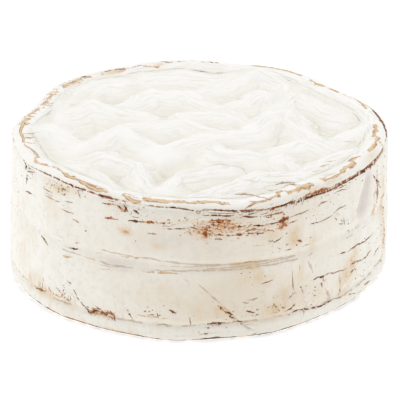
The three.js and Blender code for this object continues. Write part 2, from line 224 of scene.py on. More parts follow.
# Single marks: half width, share that shows, then the points of the mark by angle and distance up
# the skin. The noise in the material leaves gaps where the share is low, and none well above 1.
# A dark mark is pale brown up to 0.8, dark and broken into dots near 1, and whole from 1.2.
DARK_MARKS = [
    (1, 1.3, (204.2, 73.8), (204.9, 71.3)), (0.5, 0.9, (206.8, 72.8), (209.4, 70.6)),
    (0.5, 0.9, (207, 70.8), (209.6, 72)), (1, 1.3, (206.2, 68), (206, 64.5)),
    (0.7, 1.3, (206, 58.8), (208.8, 59.8)), (0.4, 0.8, (230.8, 72.3), (232, 70)),
    (0.35, 0.8, (221.9, 62.8), (223.5, 63.5)), (0.35, 0.75, (217.6, 63.4), (220.6, 63)),
    (0.35, 0.75, (216, 66.6), (219.4, 66.2)), (0.35, 0.78, (225.2, 60.3), (228.4, 60)),
    (0.35, 0.8, (226.6, 65), (228.6, 65.5)), (0.4, 0.8, (227.6, 60.6), (229.2, 60.2)),
    (0.4, 0.8, (229.9, 57), (231.9, 56.4)), (0.8, 1.3, (248.2, 72), (249.3, 70)),
    (0.9, 1.3, (251.4, 70.8), (252.8, 69.7)), (0.7, 1.3, (249.8, 65), (253.8, 65.6)),
    (0.5, 1, (264.2, 63.7), (266, 63.9)), (0.5, 1, (268.8, 64.5), (270, 64)),
    (0.5, 1, (271, 72.5), (272.6, 75.2)), (0.45, 1, (283, 70.5), (284.2, 71), (287.5, 70.3)),
    (0.7, 1.3, (287.2, 65.3), (289.8, 64.5)), (0.6, 1.3, (292, 64.3), (294.6, 64)),
    (2.6, 1.4, (295.6, 64.2), (298, 64.6)),
    (0.3, 0.97, (272.6, 71.2), (274.5, 71.7), (279.4, 71.7), (281, 72)),
    (0.5, 0.9, (285.4, 60.8), (287.8, 60.8)), (1.1, 1.3, (272.8, 62.3), (273, 60)),
    (0.6, 0.9, (276, 58.5), (277.5, 58.2)), (0.5, 0.5, (247.8, 59), (249, 58.7)),
    (0.45, 1, (215.5, 40.5), (217.2, 39.5), (219.2, 38)), (0.6, 1.3, (229, 41.5), (231, 41.8)),
    (0.5, 1, (224.4, 16.2), (225, 15.5)), (0.4, 1, (227.8, 13.1), (228.4, 11.3)),
    (0.35, 1, (229.2, 14.1), (229.2, 12.7)), (0.5, 1, (228.4, 22.9), (229.2, 22.2)),
    (0.45, 1, (230.6, 18.7), (231.4, 16.6)), (0.5, 1, (231.8, 15.2), (232.2, 14.5)),
    (0.6, 1.3, (233.2, 13.1), (234.2, 10.6), (235.6, 8.5)), (0.9, 1.3, (237.2, 9.6), (238.8, 10.6)),
    (0.5, 1, (239, 13.1), (240.6, 11.7)), (0.5, 1, (243.8, 11.4), (244.6, 9.6), (244.8, 8.5)),
    (0.5, 1, (249.2, 15.2), (250.4, 10.6)), (0.35, 0.9, (256.1, 14.5), (257.3, 14.8)),
    (0.4, 1, (258.6, 16.2), (258.8, 14.1)), (0.35, 0.9, (259.6, 9.9), (260.8, 9.6)),
    (1, 1.3, (262.6, 18.3), (263.9, 17.2)), (0.35, 0.9, (268.2, 13.5), (268.4, 10.6)),
    (0.8, 1.3, (273.6, 10), (278.4, 9.7)), (0.7, 1.3, (282, 10.2), (283.8, 9.8)),
    (0.9, 1.3, (279.4, 16.2), (280.6, 15)), (0.6, 1.3, (280.2, 13.8), (281.2, 12.5)),
    (0.8, 1.3, (285.4, 15.6), (287.2, 14.6)), (0.5, 0.9, (294, 17.3), (295.4, 13.8)),
    (0.4, 0.9, (293.2, 15.9), (293.8, 12.7)), (0.35, 0.9, (284.4, 21), (285.4, 20.8)),
    (0.35, 0.9, (287, 21.7), (288.3, 22.6)), (0.45, 0.9, (284.6, 43.3), (286.4, 43.2)),
    (0.4, 0.9, (290.1, 30.5), (292.5, 31.3)),
    (0.3, 0.7, (299.9, 33.3), (300.4, 23.8), (300.8, 22.5)),
    (0.3, 0.8, (303.8, 21.5), (304.4, 19.3)), (0.6, 1.3, (301, 9.2), (303, 9.6)),
    (0.45, 1, (298.8, 11.7), (299.8, 12), (300.8, 13.8)), (0.4, 0.95, (305.2, 8.5), (305.8, 11.3)),
    (0.4, 1, (303.6, 9.4), (306.4, 8.4), (311.6, 7.5), (314.2, 7.5), (316.4, 7.8)),
    (0.45, 0.9, (306.4, 56.8), (309.8, 56.1)),
    (0.35, 0.8, (309.8, 56.1), (313.4, 55.8), (316.2, 56.5)),
    (0.35, 0.8, (317.4, 57.5), (319, 58.6), (322.2, 58.6)),
    (0.35, 0.75, (299.6, 64.9), (302.6, 65.2), (305.8, 65.2)),
    (0.45, 0.85, (310, 64.9), (311.2, 65.9), (314, 66)),
    (0.35, 0.75, (318, 68.4), (320.8, 68.4), (322.4, 67.7)), (0.6, 1.3, (320.2, 33), (322, 32.7)),
    (0.35, 1, (323.6, 32.3), (329, 32.7), (330.8, 31.6), (334.2, 30.9), (338.6, 31.3)),
    (0.5, 1, (308.6, 24.3), (310.2, 25)),
    (0.6, 0.96, (310.2, 25), (312, 23.9), (313.6, 24.3), (314.8, 25)),
    (0.35, 0.75, (314.8, 25), (317.2, 23.6), (319.8, 23.2), (322.6, 22.9)),
    (0.35, 0.8, (327.4, 23.9), (332, 21.5)), (0.4, 1, (332, 21.5), (334.8, 21.1), (337.6, 22.2)),
    (0.5, 0.9, (341, 18.3), (343.2, 19.4), (345.4, 19.7)), (1.1, 0.95, (342, 12.7), (343.2, 9.6)),
    (0.6, 1.3, (325.4, 18.7), (326.8, 19.7)), (0.5, 0.95, (332.4, 11.7), (335, 10.3)),
    (0.5, 0.85, (334.4, 5.4), (338.4, 4.7)), (0.6, 0.9, (331, 3.6), (332, 3.6)),
    (0.8, 1.3, (312, 20.4), (312.2, 19)), (0.6, 0.9, (320, 13.4), (320.8, 10.3)),
    (0.3, 0.55, (317.4, 8.2), (323.2, 7.1), (329.4, 4.3)), (0.4, 0.8, (291.8, 54.4), (292.8, 54)),
    (0.5, 0.9, (294, 53.3), (294.8, 53.7), (295.6, 54.4)), (1.1, 1.3, (302.1, 50.2), (302.9, 49.3)),
    (0.5, 0.9, (297.8, 46.7), (299.2, 46.7)), (0.45, 0.9, (294.8, 49.1), (295.4, 48.5)),
    (0.4, 0.7, (304.2, 46), (305.8, 46)), (0.45, 1, (340, 54.6), (339.8, 53.2)),
    (0.5, 1, (319.6, 50), (320.2, 49.6)), (0.5, 1, (317.8, 54), (318.2, 53.2)),
    (0.45, 1, (321.6, 51), (321.8, 49.4)), (0.5, 1, (339, 64.9), (340.6, 61.7), (343.4, 58.2)),
    (0.4, 0.9, (343.4, 56.8), (344.8, 53.7)), (0.5, 1, (345.4, 47), (346.6, 47.7)),
    (0.45, 1, (328.6, 73.4), (334.8, 72.4)),
    (0.6, 0.79, (284.2, 92.5), (287.6, 92.5), (290.4, 90.8), (291, 82), (292.2, 79.4)),
    (0.4, 0.78, (291.6, 80.3), (292.2, 78.5)), (0.5, 0.75, (296.6, 90.8), (298, 89.2)),
    (0.6, 0.8, (300.6, 92.5), (302.6, 91.8), (304.2, 89.7), (305.4, 87.6)),
    (0.4, 0.75, (303.6, 87), (305, 82.6)), (0.4, 0.78, (285.4, 76.6), (287.2, 77.6)),
    (0.45, 0.9, (124, 81), (120.8, 81), (117.2, 81.7), (114.4, 82.4)),
    (0.5, 1, (112, 82), (109.6, 81.7)), (0.5, 1, (101.6, 80.6), (99, 81)),
    (0.7, 1.3, (131.6, 79.9), (130.4, 80.6)), (0.45, 0.9, (138, 82), (135.2, 82.7)),
    (0.4, 0.85, (104.8, 84.5), (103.6, 85.2)), (0.45, 0.9, (86, 80.6), (83, 80.3)),
]
RUST_MARKS = [
    (0.6, 0.9, (241, 71), (245, 71.4)), (1.2, 0.9, (246.2, 71.2), (248.6, 69.6)),
    (0.9, 1, (241.9, 63.3), (246, 64.3)), (0.7, 0.8, (253.8, 65.6), (262, 66.4)),
    (0.5, 0.9, (261.6, 63.5), (263.2, 63.5)), (0.6, 0.9, (256.4, 59.8), (258.3, 59.8)),
    (1.9, 1, (272.8, 63.5), (272.8, 58.6)), (0.5, 0.9, (290.4, 69.8), (294.2, 69.5)),
    (0.8, 0.9, (274.5, 69), (281, 69.4)), (0.7, 0.9, (275, 66.6), (280.4, 65.2), (284.1, 65.8)),
    (0.6, 0.9, (290.1, 64.5), (292, 64.2)), (1.6, 1, (296.6, 63), (297.6, 61.4)),
    (1.4, 1, (294.3, 60.4), (297, 61.2)), (0.8, 1, (284.6, 62.8), (287.6, 63.3)),
    (0.8, 0.9, (280.6, 60.7), (285.2, 61.2)), (0.5, 0.9, (288, 60.5), (289.8, 59.6)),
    (0.5, 0.9, (289.4, 62), (292.8, 60.4)), (0.6, 0.7, (275.6, 61), (280.4, 60.4)),
    (0.5, 0.9, (298.4, 61.8), (301.2, 62)), (0.9, 0.9, (325.2, 23.9), (327.6, 23.2)),
    (0.9, 1, (213, 9.2), (215.2, 9.6), (218.4, 11.3)), (0.4, 0.8, (215, 14.8), (215, 10.6)),
    (0.4, 0.8, (217.2, 15.2), (217.4, 11.3)), (0.5, 0.9, (220.6, 14.8), (221.4, 12.7)),
    (0.6, 0.9, (226, 13.1), (226.6, 16.2)), (0.6, 0.8, (222.4, 12.4), (225.4, 12)),
    (1.9, 1, (236.4, 8.8), (238.8, 10.6)), (1.2, 1, (240.2, 10.8), (241.9, 9.3)),
    (1.4, 1, (241.6, 9.6), (243.2, 12), (244.4, 10.6), (244.8, 8.5)),
    (1.4, 1, (239.2, 10.6), (240.4, 9.6)), (0.4, 0.7, (247.6, 12.4), (247.6, 10.3)),
    (1, 0.8, (276.5, 20.5), (278.9, 16.6)), (0.6, 0.9, (298.6, 11.8), (300.6, 13.4)),
    (0.6, 0.8, (271.2, 4.6), (274.4, 4.8)), (0.8, 0.9, (294.4, 69.1), (295.8, 69.1)),
    (0.9, 0.9, (341.6, 49), (342.4, 53.5), (341.8, 58)),
    (0.9, 0.7, (349.2, 27.8), (350.8, 21.8), (350.2, 17.6)),
]
TAN_MARKS = [
    (1.1, 1, (195.6, 80.3), (198.2, 83.4), (200.6, 84.5), (205, 83), (207, 79.4)),
    (0.8, 1, (207, 79.2), (209, 78.2), (212, 79.2), (217, 81), (220.6, 81)),
    (0.9, 1, (220.6, 81), (224.6, 78.5), (230.6, 78.9)),
    (1.3, 1, (229.5, 78.9), (234.4, 77.8), (237.8, 77.1), (241, 77.5)),
    (1, 1, (247.4, 78.2), (250, 76.8), (251, 75.9), (253.4, 76.2)),
    (1.4, 1, (253.8, 78), (256.6, 78.3), (259.2, 78.5), (263, 78.3)),
    (1, 1, (263.8, 77.8), (266.4, 78.9), (268.8, 78.5), (271.2, 78.5)),
    (1.3, 1, (269.8, 78.5), (272.8, 79.7), (275.4, 80.6), (277.4, 79.2), (279.8, 78.7)),
    (0.7, 1, (285.4, 76.8), (286.6, 77.6), (288.2, 78.3), (290.2, 78.2), (292, 77.8)),
    (1.3, 1, (290, 78.2), (292.2, 78.4), (294, 79)),
    (3.2, 1, (293, 79), (295.4, 80.3), (297.8, 81.4), (299.6, 80.4), (302.4, 80.3), (305, 80.6),
     (307.4, 79.4), (309, 78.4)),
    (0.6, 0.9, (303.6, 87), (305, 82.6)),
    (1, 1, (313, 80.6), (313.6, 78.7), (314.2, 77.7), (315.8, 77.5)),
    (0.7, 0.9, (316, 77.5), (318.4, 77), (321.2, 77.5)), (1, 1, (321.2, 77.5), (325, 78.9)),
    (2.6, 1, (322.6, 78.2), (326, 79.6), (329.4, 80.4), (332, 81.7), (335.2, 81)),
    (1.5, 1, (340.4, 79.2), (345, 79.6), (348.4, 79.6)),
    (2.1, 1, (349.2, 79.4), (352.8, 81.2), (356.2, 81), (359.4, 81.7)),
    (1.6, 1, (359.2, 82), (1.6, 82.6)), (0.5, 0.8, (316.6, 89.7), (319.2, 88.3)),
    (0.8, 0.9, (321, 91.1), (323, 90.8), (324.8, 89.7)), (0.5, 0.8, (327, 92.5), (329.2, 90.4)),
    (0.4, 0.8, (349, 95.6), (349.6, 91.8)), (0.4, 0.9, (253.2, 81.5), (255.6, 82.3)),
    (0.7, 1, (185.2, 82.4), (183.4, 87.6)), (0.7, 1, (188.8, 82.1), (186.4, 86.9)),
    (0.7, 1, (192.4, 82.2), (191.2, 86.2)), (0.8, 1, (174.4, 80.5), (171.8, 83.4)),
    (0.8, 1, (179, 81), (176, 84.4)), (0.6, 0.6, (224.5, 35), (229.4, 36.8)),
    (0.5, 0.7, (217.5, 18.3), (217.5, 15)), (0.5, 0.7, (220.4, 16), (220.4, 13.2)),
    (0.6, 0.5, (256.1, 38.8), (263.9, 39.3)), (0.4, 0.5, (247.4, 44.6), (254.6, 45.4)),
    (0.4, 0.7, (302.6, 35.7), (302.6, 33.7)), (0.4, 0.6, (319.6, 21.5), (320.4, 12)),
    (0.6, 0.9, (286, 22), (287.4, 22)), (0.4, 0.45, (253, 13.4), (257.4, 13.8), (261.6, 13.8)),
]
BROWN_MARKS = [
    (0.5, 0.9, (300, 101.7), (302, 100.1), (304.8, 96.9)), (0.5, 0.9, (307.8, 89.4), (309.4, 85.9)),
    (0.5, 0.9, (288.8, 103.3), (291.4, 101.7), (294, 99.3)), (0.8, 0.9, (306, 36.5), (308, 29.2)),
    (0.5, 0.9, (270.9, 33), (275, 25.5), (279.4, 17.4), (284, 8.3), (287.5, 4.6)),
    (0.4, 0.6, (286, 52.8), (290, 53)), (0.5, 0.6, (239.4, 35), (244.4, 36.3)),
    (1, 0.8, (313.8, 16.2), (315, 12.7), (316.6, 8.9), (316.4, 7.8)),
]

# Soft patches: angle, distance up the skin, half length, half height, strength
RUST_HAZE = [
    (277.5, 66, 11, 5, 1), (271, 63, 6, 4, 0.8), (262, 66.5, 7, 2.5, 0.35),
    (296.5, 62.5, 3.5, 3, 1), (248.5, 58.8, 3.6, 2, 0.8), (247, 70.8, 3, 2, 0.6),
    (288, 62.5, 9, 4, 0.5), (272.8, 59.5, 2.2, 4, 0.7), (238, 10, 3, 2.4, 0.5),
    (243.5, 11, 3, 2.4, 0.5), (295, 70, 4, 3, 0.5), (339.8, 44.5, 2.4, 3.4, 1),
    (341.6, 58, 2.2, 10, 0.8), (324.8, 24.5, 2.6, 2.4, 0.5), (323.4, 17.5, 2.8, 3.6, 0.45),
    (322.8, 10, 3, 2.2, 0.5), (78, 64, 8, 4, 0.7), (122, 11, 7, 3, 0.5), (148, 68, 4, 3, 0.5),
]
STAINS = [
    (284, 42, 16, 2, 0.8), (248.5, 58.8, 3, 2, 1), (259, 53.5, 4, 2, 0.6), (224, 71, 10, 3.4, 0.8),
    (222, 60, 9, 8, 0.2), (216, 11.5, 8, 3.2, 1), (205, 30, 9, 18, 0.3), (275, 17, 9, 4, 0.7),
    (296, 14, 9, 4.5, 0.7), (325, 25, 4.5, 4, 1), (323.4, 18, 5, 5, 1), (322.6, 10.5, 5, 3.5, 1),
    (288, 35, 8, 5, 0.7), (301, 53, 4, 8, 0.9), (308, 46, 3, 5, 0.5), (293, 57, 4, 3, 0.5),
    (349.4, 19, 3, 9, 1), (346, 35, 3, 8, 0.7), (347, 50, 4, 12, 0.8), (312, 14, 12, 5, 0.35),
    (298, 22, 12, 6, 0.5), (326, 29, 4, 4, 0.7), (262, 24, 22, 9, 0.2), (303, 31, 3, 6, 0.5),
    (120, 83, 9, 2.2, 0.8), (137, 83.5, 5, 2, 0.6), (103, 83, 5, 1.6, 0.5), (226, 11, 8, 2.4, 0.9),
    (240, 10, 7, 2, 0.9), (212, 14, 7, 6, 0.7), (242, 1.5, 14, 1.6, 0.9), (312, 75.5, 16, 1.6, 0.5),
    (340, 76.5, 10, 2, 0.5), (76, 62, 12, 6, 0.7), (120, 14, 10, 5, 0.8), (150, 34, 6, 16, 0.6),
    (46, 36, 5, 14, 0.6), (96, 42, 16, 2, 0.7), (20, 12, 8, 4, 0.7), (172, 12, 8, 4, 0.6),
]
SPECKLES = [
    (223.5, 70.4, 10, 3.2, 1.6), (247, 70.8, 4.5, 3, 1), (255.5, 69.5, 5, 2.5, 0.6),
    (265, 67.5, 8, 3, 0.9), (270, 63, 7, 3, 1), (278, 67, 12, 6, 1), (293.5, 69.5, 6, 4, 0.9),
    (286, 62, 10, 4, 0.6), (295, 51, 10, 5, 0.5), (287, 35, 7, 4, 0.5), (328, 50, 9, 8, 0.2),
    (222, 14, 8, 3.4, 0.7), (240, 11, 7, 2.6, 0.9), (297, 18, 12, 7, 0.3), (198, 55, 10, 20, 0.18),
    (225, 48, 16, 8, 0.12), (258, 16, 12, 4, 0.4), (332, 22, 12, 14, 0.25), (350, 60, 8, 14, 0.35),
    (208, 72, 6, 3, 0.5), (320, 71, 24, 3, 0.6), (350, 76, 7, 3, 0.9), (226, 15, 4, 5, 0.8),
    (74, 66, 16, 5, 0.7), (118, 12, 14, 5, 0.5), (150, 68, 9, 4, 0.5), (30, 30, 10, 14, 0.3),
    (322, 54, 6, 6, 0.2), (312, 62, 14, 8, 0.25), (306, 15, 14, 8, 0.35), (278, 12, 14, 5, 0.35),
    (347, 34, 5, 16, 0.9), (350, 18, 4, 8, 0.9), (342, 56, 2.4, 11, 1),
]
# Mauve tint on the side; the three patches at 333 to 336 degrees are painted shade on the dent's
# left wall
MAUVE_PATCHES = [
    (246, 39.5, 9, 3.5, 0.7), (286, 41.6, 24, 2, 0.35), (336, 64, 3.2, 5, 1),
    (334.8, 57, 4.4, 5, 1), (333, 50.5, 4.8, 4.5, 1), (262, 57, 14, 4, 0.3), (300, 20, 10, 5, 0.4),
]


def hump(offset, spread):
    """A soft hump, 1 where offset is 0 and close to 0 two spreads away."""
    return np.exp(-((offset / spread) ** 2))


def turn_between(a, b):
    """The signed difference between two angles, from -180 to 180."""
    return (a - b + 180) % 360 - 180


def lerp(a, b, share):
    return a + (b - a) * share


def smoothstep(value, low, high):
    share = np.clip((value - low) / (high - low), 0, 1)
    return share * share * (3 - 2 * share)


def round_sum(entries, angle):
    return sum(size * hump(turn_between(angle, at), spread) for at, size, spread in entries)


def outline_radius(angle, height):
    """The radius of the uneven outline at an angle and a height."""
    foot = round_sum(FOOT_SWELLS, angle)
    rim = round_sum(RIM_SWELLS, angle)
    return RADIUS + lerp(foot, rim, smoothstep(height, 0, HEIGHT))


def dent_depth(angle, height):
    """How deep the pinched dent near the right-hand end is."""
    down = np.clip((DENT_TOP - height) / (DENT_TOP - DENT_FOOT), 0, 1)
    across = np.radians(turn_between(angle, lerp(*DENT_ANGLES, down))) * RADIUS
    spread = np.where(across < 0, *DENT_SPREADS) * lerp(DENT_POINT, 1, down)
    return DENT_DEPTH * np.sin(np.pi * down) * hump(across, spread)


def side_relief(angle, height):
    """How far the side stands out of the outline."""
    out = SIDE_BELLY * np.sin(np.pi * height / HEIGHT)
    for waves, tall, size in RIPPLES:
        out = out + size * np.sin(np.radians(waves * angle) + 2 * np.pi * height / tall)
    for at, depth, spread in GROOVES:
        out = out - depth * hump(height - at, spread)
    return out - dent_depth(angle, height)


def rim_height(inset):
    """The height of the rim above the bed at a distance in from the side."""
    span = np.where(inset < RIM_CROWN_INSET, RIM_WIDTH, RIM_WIDTH - RIM_CROWN_INSET)
    return BED_DEPTH * (1 - (np.abs(inset - RIM_CROWN_INSET) / span) ** RIM_FULLNESS)


def off_crest(start, end, x, y):
    """The share along one stretch of a crest line, and the steps from there, of each point."""
    step_x, step_y = end[0] - start[0], end[1] - start[1]
    along = ((x - start[0]) * step_x + (y - start[1]) * step_y) / (step_x ** 2 + step_y ** 2)
    along = np.clip(along, 0, 1)
    return along, x - lerp(start[0], end[0], along), y - lerp(start[1], end[1], along)


def fold_height(start, end, x, y):
    """The height above the bed that one stretch of a crest line gives, below 0 far from it."""
    along, away_x, away_y = off_crest(start, end, x, y)
    distance = np.hypot(away_x, away_y) + CREST_WIDTH
    reach = lerp(FRONT_REACH, BACK_REACH, smoothstep(away_y / distance, -1, 1))
    rise = lerp(start[2], end[2], smoothstep(along, 0, 1))
    return rise * (1 - (distance / reach) ** FOLD_FULLNESS)


def pit_depth(x, y):
    """How deep the pits between the folds are."""
    depth = 0
    for middle_x, middle_y, long, wide, turn, deep in PITS:
        cos, sin = math.cos(math.radians(turn)), math.sin(math.radians(turn))
        along = ((x - middle_x) * cos + (y - middle_y) * sin) / long
        across = ((y - middle_y) * cos - (x - middle_x) * sin) / wide
        depth = depth + deep * hump(np.hypot(along, across), 1)
    return depth


def top_height(x, y, inset):
    """The height of the top face: the softened highest of the bed, the folds and the rim."""
    total = 1
    for crest in FOLDS:
        for start, end in zip(crest, crest[1:]):
            total = total + np.exp(CREASE_SHARPNESS * fold_height(start, end, x, y))
    total = total * np.exp(-CREASE_SHARPNESS * pit_depth(x, y))
    total = total + np.exp(CREASE_SHARPNESS * rim_height(inset))
    return HEIGHT - BED_DEPTH + np.log(total) / CREASE_SHARPNESS


def rim_lift(angle, height, inset):
    """How far the rim's rise or dip carries a point."""
    fade = smoothstep(height, HEIGHT / 2, HEIGHT) * (1 - smoothstep(inset, 0, 3 * RIM_WIDTH))
    return fade * round_sum(RIM_LIFTS, angle)


def profile(up):
    """The plain profile's radius and height at a distance up the skin."""
    foot = np.clip((up - SKIN_FOOT) / FOOT_ARC, 0, 1) * math.pi / 2
    shoulder = np.clip((up - SIDE_TOP) / SHOULDER_ARC, 0, 1) * math.pi / 2
    inward = np.maximum(0, up - SKIN_CROWN)
    foot_inset = FOOT_ROUNDING * (1 - np.sin(foot))
    radius = RADIUS - foot_inset - SHOULDER_ROUNDING * (1 - np.cos(shoulder)) - inward
    side = np.clip(up, FOOT_ROUNDING, SIDE_TOP) - FOOT_ROUNDING
    height = FOOT_ROUNDING * (1 - np.cos(foot)) + side + SHOULDER_ROUNDING * np.sin(shoulder)
    return radius, height


def shape_points(radius, angle, height):
    """Where the uneven wheel has the points of the plain profile."""
    inset = RADIUS - radius
    skin = smoothstep(radius, RADIUS - 2 * SHOULDER_ROUNDING, RADIUS)
    shaped = radius * outline_radius(angle, height) / RADIUS + skin * side_relief(angle, height)
    x = shaped * np.cos(np.radians(angle))
    y = shaped * np.sin(np.radians(angle))
    top_share = np.maximum(0, (height - SIDE_TOP) / SHOULDER_ROUNDING)
    z = height + top_share * (top_height(x, y, inset) - HEIGHT) + rim_lift(angle, height, inset)
    return np.stack([x, y, z], axis=1)


def gradient_noise(points, seed):
    """Smooth random lumps one unit wide, from about -1 to 1."""
    random = np.random.RandomState(seed)
    order = np.tile(random.permutation(256), 2)
    slopes = random.normal(size=(256, 3))
    slopes /= np.linalg.norm(slopes, axis=1)[:, None]
    cell = np.floor(points).astype(int)
    inside = points - cell
    ease = inside ** 3 * (inside * (inside * 6 - 15) + 10)
    total = np.zeros(len(points))
    for corner in np.ndindex(2, 2, 2):
        at = (cell + corner) & 255
        slope = slopes[order[order[order[at[:, 0]] + at[:, 1]] + at[:, 2]]]
        weight = np.prod(np.where(corner, ease, 1 - ease), axis=1)
        total += weight * np.sum(slope * (inside - corner), axis=1)
    return 1.6 * total


def lumps(points, size, seed, octaves=1):
    """Noise with lumps of a size in millimetres, or of a size along each axis."""
    scaled = points / np.asarray(size, dtype=float)
    return sum(gradient_noise(scaled * 2 ** i, seed + i) / 2 ** i for i in range(octaves))


class Skin:
    """The vertices of the wheel, with their places on the plain profile, and its faces."""

    def __init__(self):
        self.parts = []
        self.faces = []
        self.add_base()
        self.add_rings()
        self.add_top()
        self.angle, self.radius, self.height, self.up = np.concatenate(self.parts, axis=1)
        self.points = shape_points(self.radius, self.angle, self.height)

    def add_points(self, *places):
        """Adds points by angle, radius, height and distance up the skin, and returns where."""
        start = sum(part.shape[1] for part in self.parts)
        self.parts.append(np.array(np.broadcast_arrays(*places), dtype=float))
        return start

    def add_ring(self, radius, height, up):
        return self.add_points(np.arange(ROUND) * TURN_STEP, radius, height, up)

    def add_faces(self, *corners):
        self.faces.extend(np.stack(corners, axis=-1).reshape(-1, len(corners)).tolist())

    def join_rings(self, lower, upper):
        here = np.arange(ROUND)
        there = (here + 1) % ROUND
        self.add_faces(lower + here, lower + there, upper + there, upper + here)

    def add_base(self):
        """The flat underside, from its centre out."""
        middle = self.add_points([0], 0, 0, UNDERSIDE)
        edge_radius = RADIUS - FOOT_ROUNDING
        rings = [self.add_ring(r, 0, SKIN_FOOT + r - edge_radius) for r in BASE_RADII]
        here = np.arange(ROUND)
        self.add_faces(0 * here + middle, rings[0] + here, rings[0] + (here + 1) % ROUND)
        for inner, outer in zip(rings, rings[1:]):
            self.join_rings(inner, outer)
        self.edge = rings[-1]

    def add_rings(self):
        """The foot, the side, the shoulder and the outer part of the top."""
        for up in np.linspace(SKIN_FOOT, SKIN_END, SKIN_ROWS):
            radius, height = profile(up)
            ring = self.add_ring(radius, height, up)
            self.join_rings(self.edge, ring)
            self.edge = ring

    def add_top(self):
        """A square grid pulled into the disc inside the last ring."""
        span = np.arange(-HALF_GRID, HALF_GRID + 1)
        i, j = np.meshgrid(span, span, indexing="ij")
        ring = np.maximum(np.abs(i), np.abs(j))
        safe = np.maximum(ring, 1)
        turn = np.where(i == ring, 45 * j / safe, 180 - 45 * j / safe)
        turn = np.where((j == ring) & (i != ring), 90 - 45 * i / safe, turn)
        turn = np.where((j == -ring) & (i != ring), 270 + 45 * i / safe, turn)
        inner = ring < HALF_GRID
        edge_radius = profile(SKIN_END)[0]
        radius = edge_radius * ring / HALF_GRID
        up = SKIN_END + edge_radius - radius
        start = self.add_points(turn[inner] % 360, radius[inner], HEIGHT, up[inner])
        index = self.edge + np.rint(turn / TURN_STEP).astype(int) % ROUND
        index[inner] = start + np.arange(inner.sum())
        self.add_faces(index[:-1, :-1], index[1:, :-1], index[1:, 1:], index[:-1, 1:])

    def normals(self):
        """The outward normal at each vertex."""
        quads = np.array([face if len(face) == 4 else face + face[-1:] for face in self.faces])
        corners = self.points[quads]
        across = np.cross(corners[:, 2] - corners[:, 0], corners[:, 3] - corners[:, 1])
        normals = np.zeros_like(self.points)
        for corner, axis in np.ndindex(4, 3):
            shares = np.bincount(quads[:, corner], across[:, axis], minlength=len(normals))
            normals[:, axis] += shares
        return normals / np.linalg.norm(normals, axis=1)[:, None]


class Marks:
    """The nearest of a family of lines at each vertex: offset in half widths and how much shows."""

    def __init__(self, angle, up, rounds, marks):
        self.angle = angle
        self.up = up
        self.near = np.full(len(up), FAR_AWAY)
        self.offset = np.full(len(up), LARGEST_OFFSET)
        self.shows = np.zeros(len(up))
        for line in rounds:
            self.add_round(line)
        for mark in marks:
            self.add_mark(*mark)

    def keep_nearest(self, across, distance, width, shows):
        closer = distance < self.near
        offset = np.clip(across / width, -LARGEST_OFFSET, LARGEST_OFFSET)
        self.near = np.where(closer, distance, self.near)
        self.offset = np.where(closer, offset, self.offset)
        fade = 1 - smoothstep(np.abs(across), 1.1 + width, 1.8 + width)
        self.shows = np.where(closer, shows * fade, self.shows)

    def add_round(self, line):
        """A line that runs right round the wheel."""
        angles, *columns = np.array(line).T
        at, width, shows = (np.interp(self.angle, angles, c, period=360) for c in columns)
        across = self.up - at
        self.keep_nearest(across, np.abs(across), width, shows)

    def add_mark(self, width, share, *points):
        """A short line through a few points, thinner at its ends."""
        lengths = [math.hypot(*skin_step(a, b)) for a, b in zip(points, points[1:])]
        whole = sum(lengths)
        done = 0
        for start, end, length in zip(points, points[1:], lengths):
            step_x, step_y = np.array(skin_step(start, end)) / length
            dx, dy = skin_step(start, (self.angle, self.up))
            along = dx * step_x + dy * step_y
            across = dy * step_x - dx * step_y
            past = np.maximum(0, np.maximum(-along, along - length))
            run = done + np.clip(along, 0, length)
            taper = np.clip(np.minimum(run, whole - run) / min(2.5, whole / 2), 0.45, 1)
            shows = share * (1 - smoothstep(past, 0, 1))
            self.keep_nearest(across, np.hypot(across, past), width * taper, shows)
            done += length

    def cover(self):
        """How fully the marks cover each vertex, from 0 to 1."""
        return self.shows * (1 - smoothstep(np.abs(self.offset), 0.6, 1.5))


def skin_step(start, end):
    """The millimetres round and up from one place on the skin to another."""
    return np.radians(turn_between(end[0], start[0])) * RADIUS, end[1] - start[1]


def patch_field(patches):
    """The strength of soft patches at each vertex, from 0 to 1."""
    clear = np.ones(len(skin.up))
    for angle, up, half_length, half_height, strength in patches:
        across, above = skin_step((angle, up), (skin.angle, skin.up))
        shade = strength * hump(across, half_length) * hump(above, half_height)
        clear *= 1 - np.clip(shade, 0, 1)
    return 1 - clear


def stray_marks(count, low, high, seed):
    """Short marks strewn over the half of the wheel that is turned away."""
    random = np.random.RandomState(seed)
    marks = []
    for _ in range(count):
        angle = random.uniform(12, 176)
        up = random.uniform(low, high)
        length = random.uniform(1, 7)
        end = (angle + length * random.choice([-1, 1]), up + random.uniform(-0.25, 0.25) * length)
        marks.append((random.uniform(0.35, 0.9), random.uniform(0.6, 1), (angle, up), end))
    return marks


def edge_ticks(seed):
    """The short tan ticks that point inwards along the far side of the rim."""
    random = np.random.RandomState(seed)
    marks = []
    for angle in np.arange(134, 180, 2.8):
        angle += random.uniform(-0.7, 0.7)
        foot = random.uniform(79, 81)
        inward = random.uniform(2.5, 4.5)
        marks.append((random.uniform(0.5, 0.8), 1, (angle, foot), (angle - 1.4, foot + inward)))
    return marks


def crack_ticks(low, high, seed):
    """Short strokes that cross the crack under the rim on the slant."""
    random = np.random.RandomState(seed)
    angles, ups = np.array(RIM_CRACK)[:, :2].T
    marks = []
    for angle in np.arange(low, high, 1.5):
        angle += random.uniform(-0.6, 0.6)
        up = np.interp(angle, angles, ups) + random.uniform(-0.2, 0.6)
        reach = random.uniform(0.6, 1.3)
        side = 0.45 * reach
        width = random.uniform(0.3, 0.45)
        marks.append((width, 1, (angle - side, up - reach), (angle + side, up + reach)))
    return marks


